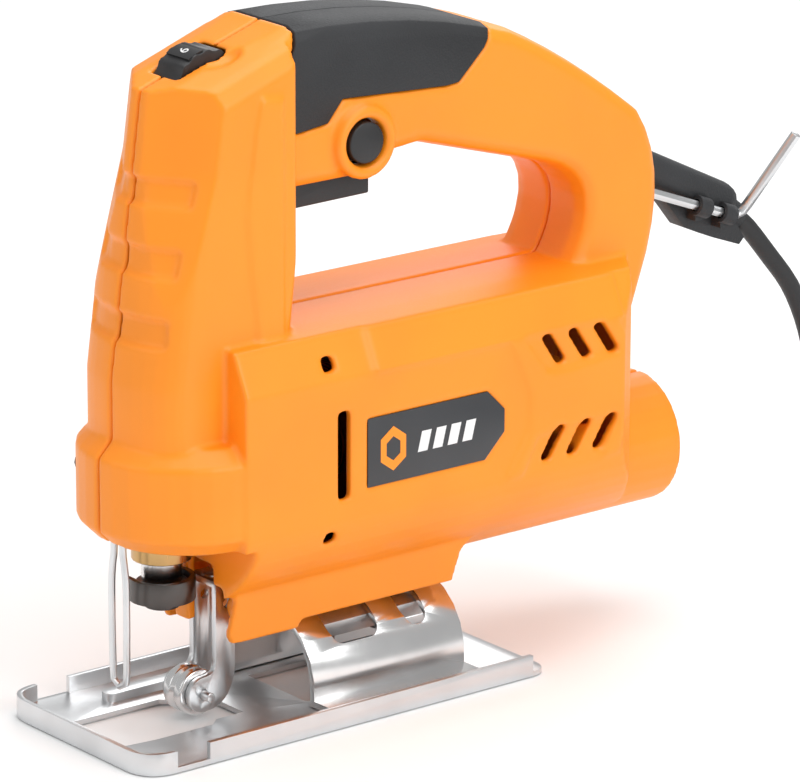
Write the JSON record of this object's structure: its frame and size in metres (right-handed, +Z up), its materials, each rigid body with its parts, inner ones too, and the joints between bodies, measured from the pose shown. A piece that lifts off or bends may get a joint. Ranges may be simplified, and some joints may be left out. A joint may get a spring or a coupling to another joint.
{
  "type": "jigsaw power tool",
  "caption": "Corded jigsaw with a closed D handle, tilting pressed-steel sole, blade clamp, guide roller, trigger, speed dial and dust port.",
  "frame": {"origin": "centre of the sole's underside, in the web between its two openings", "axes": "+Z up from the work surface, -Y the cutting direction (front), +X the tool's left side"},
  "size_m": [0.0989, 0.4054, 0.2075],
  "materials": {
    "housing_plastic": "fine satin texture, moulded orange",
    "grip_rubber": "matt charcoal soft grip",
    "black_plastic": "satin charcoal black",
    "zinc_steel": "bright zinc plate",
    "bright_steel": "ground and brushed",
    "dark_steel": "brown-black oxide",
    "bronze": "sintered bronze",
    "aluminium": "die cast",
    "copper": "varnished copper winding",
    "carbon": "pressed carbon",
    "lamination": "stacked laminations",
    "nylon": "natural nylon",
    "board": "green circuit board",
    "label_film": "dark grey printed film",
    "cord_jacket": "matt black jacket"
  },
  "bodies": {
    "housing": {"left_housing": "housing_plastic", "right_housing": "housing_plastic", "left_grip": "grip_rubber", "right_grip": "grip_rubber", "housing_screw_handle_rear": "dark_steel", "housing_screw_handle_top": "dark_steel", "housing_screw_column": "dark_steel", "housing_screw_boot": "dark_steel", "housing_screw_keel": "dark_steel", "housing_screw_deck": "dark_steel", "housing_screw_belly": "dark_steel", "left_label": "label_film", "right_label": "label_film", "switch_body": "black_plastic", "speed_board": "board", "stator_core": "lamination", "front_field_coil": "copper", "rear_field_coil": "copper", "front_bearing": "bright_steel", "rear_bearing": "bright_steel", "left_brush_holder": "bronze", "left_brush": "carbon", "right_brush_holder": "bronze", "right_brush": "carbon", "gear_plate": "aluminium", "lower_bush": "bronze", "upper_bush": "bronze", "roller_fork": "zinc_steel", "roller_pin": "zinc_steel", "wire_guard": "zinc_steel", "bevel_clamp_block": "aluminium", "front_bevel_screw": "dark_steel", "rear_bevel_screw": "dark_steel", "dust_duct": "black_plastic", "cord_sleeve": "grip_rubber", "cord_clamp": "black_plastic", "cord": "cord_jacket", "cord_coil": "cord_jacket", "coil_tie": "black_plastic", "cord_tail": "cord_jacket", "plug": "black_plastic"},
    "sole": {"sole_plate": "zinc_steel", "bevel_arch": "bright_steel"},
    "plunger": {"plunger": "bright_steel", "blade_holder": "dark_steel"},
    "clamp_ring": {"clamp_ring": "dark_steel"},
    "armature": {"armature_shaft": "bright_steel", "armature_core": "copper", "commutator": "bronze", "cooling_fan": "nylon"},
    "crank": {"crank_gear": "bright_steel", "crank_roller": "bright_steel"},
    "roller": {"guide_roller": "bright_steel"},
    "trigger": {"trigger": "black_plastic"},
    "lock_button": {"lock_button": "black_plastic"},
    "speed_dial": {"speed_dial": "black_plastic"},
    "hex_key": {"hex_key": "zinc_steel"}
  },
  "joints": [
    {"name": "sole_bevel", "type": "hinge", "parent": "housing", "child": "sole", "pos_m": [0, 0.035, 0.0067], "axis": [0, 1, 0], "range_deg": [-45, 45]},
    {"name": "plunger_stroke", "type": "slide", "parent": "housing", "child": "plunger", "axis": [0, 0, 1], "range_m": [-0.014, 0.004]},
    {"name": "clamp_ring_turn", "type": "hinge", "parent": "plunger", "child": "clamp_ring", "pos_m": [0, -0.0316, 0.0426], "axis": [0, 0, 1], "range_deg": [0, 60], "stiffness_Nm_per_rad": 0.05, "springref_deg": -11.46},
    {"name": "armature_spin", "type": "hinge", "parent": "housing", "child": "armature", "pos_m": [0, 0, 0.077], "axis": [0, 1, 0], "continuous": true},
    {"name": "crank_spin", "type": "hinge", "parent": "housing", "child": "crank", "pos_m": [0, 0, 0.099], "axis": [0, 1, 0], "continuous": true},
    {"name": "guide_roller_spin", "type": "hinge", "parent": "housing", "child": "roller", "pos_m": [0, -0.0215, 0.0084], "axis": [1, 0, 0], "continuous": true},
    {"name": "trigger_travel", "type": "slide", "parent": "housing", "child": "trigger", "axis": [0, 0, 1], "range_m": [0, 0.005], "stiffness_N_per_m": 800, "springref_m": -0.002},
    {"name": "lock_button_press", "type": "slide", "parent": "housing", "child": "lock_button", "axis": [-1, 0, 0], "range_m": [0, 0.004], "stiffness_N_per_m": 500, "springref_m": -0.002},
    {"name": "speed_dial_turn", "type": "hinge", "parent": "housing", "child": "speed_dial", "pos_m": [0, -0.0174, 0.1906], "axis": [1, 0, 0], "range_deg": [-135, 135]},
    {"name": "hex_key_pull", "type": "slide", "parent": "housing", "child": "hex_key", "axis": [0, 0.9343, -0.3564], "range_m": [0, 0.012]}
  ],
  "couplings": [
    {"joint": "crank_spin", "follows": "armature_spin", "ratio": -0.22222}
  ]
}
